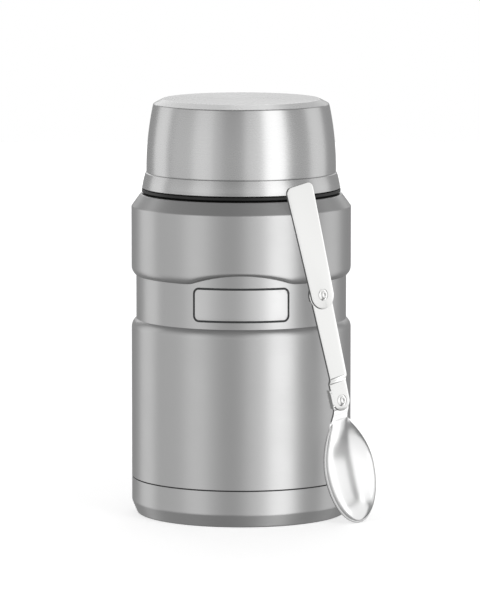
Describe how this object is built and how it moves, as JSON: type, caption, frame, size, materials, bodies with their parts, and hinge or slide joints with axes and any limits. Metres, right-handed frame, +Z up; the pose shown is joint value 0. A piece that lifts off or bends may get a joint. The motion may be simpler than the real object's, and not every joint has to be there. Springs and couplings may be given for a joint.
{
  "type": "insulated food jar",
  "caption": "Double-walled steel food jar with an arched band, a screw-in stopper, a screw-on cap that serves as a bowl, and a riveted folding spoon that leans on it.",
  "frame": {"origin": "on the jar's axis, in the plane that its base stands on", "axes": "+Z up along the jar's axis; -Y is the front, where the upper band's lower edge arches up; +X is to the right, seen from the front; the spoon leans at the front right"},
  "size_m": [0.1173, 0.105, 0.199],
  "materials": {
    "body_steel": "fine satin brushed stainless steel",
    "liner_steel": "electropolished stainless steel",
    "spoon_steel": "polished stainless steel",
    "solder": "cast bead",
    "getter_metal": "sintered, matt",
    "foil": "bright foil",
    "black_plastic": "moulded, satin black",
    "foam": "closed-cell foam",
    "seal_rubber": "moulded silicone"
  },
  "bodies": {
    "jar": {"outer_shell": "body_steel", "base_cap": "body_steel", "bottom_plate": "liner_steel", "vacuum_seal": "solder", "getter": "getter_metal", "getter_clip": "liner_steel", "inner_liner": "liner_steel", "radiation_foil": "foil"},
    "stopper_seal": {"stopper_gasket": "seal_rubber"},
    "stopper": {"stopper_top": "black_plastic", "stopper_plug": "black_plastic", "stopper_foam": "foam"},
    "cap_seal": {"cap_seal_ring": "seal_rubber"},
    "cap": {"cap_shell": "body_steel", "cap_inner_bowl": "liner_steel", "cap_thread_ring": "black_plastic"},
    "spoon_pin": {"spoon_lower_rivet": "spoon_steel"},
    "spoon_middle": {"spoon_link": "spoon_steel", "spoon_upper_rivet": "spoon_steel"},
    "spoon_end": {"spoon_bowl": "spoon_steel"},
    "spoon_grip": {"spoon_handle": "spoon_steel"}
  },
  "joints": [
    {"name": "stopper_lift", "type": "slide", "parent": "jar", "child": "stopper_seal", "axis": [0, 0, 1], "range_m": [0, 0.0271]},
    {"name": "stopper_turn", "type": "hinge", "parent": "stopper_seal", "child": "stopper", "pos_m": [0, 0, 0.1538], "axis": [0, 0, 1], "range_deg": [0, 810]},
    {"name": "cap_lift", "type": "slide", "parent": "stopper", "child": "cap_seal", "axis": [0, 0, 1], "range_m": [0, 0.0181]},
    {"name": "cap_turn", "type": "hinge", "parent": "cap_seal", "child": "cap", "pos_m": [0, 0, 0.1571], "axis": [0, 0, 1], "range_deg": [0, 540]},
    {"name": "spoon_lift", "type": "slide", "parent": "jar", "child": "spoon_pin", "axis": [0, 0, 1], "range_m": [0, 0.15]},
    {"name": "link_fold", "type": "hinge", "parent": "spoon_pin", "child": "spoon_middle", "pos_m": [0.04851, -0.04147, 0.0595], "axis": [-0.6253, 0.7722, -0.1132], "range_deg": [0, 90]},
    {"name": "bowl_fold", "type": "hinge", "parent": "spoon_pin", "child": "spoon_end", "pos_m": [0.04851, -0.04147, 0.0595], "axis": [0.6253, -0.7722, 0.1132], "range_deg": [0, 90]},
    {"name": "handle_fold", "type": "hinge", "parent": "spoon_middle", "child": "spoon_grip", "pos_m": [0.03761, -0.04293, 0.10981], "axis": [0.6253, -0.7722, 0.1132], "range_deg": [-180, 180]}
  ],
  "couplings": [
    {"joint": "stopper_lift", "follows": "stopper_turn", "m_per_rad": 0.0019099},
    {"joint": "cap_lift", "follows": "cap_turn", "m_per_rad": 0.0019099},
    {"joint": "bowl_fold", "follows": "link_fold", "ratio": 1}
  ]
}
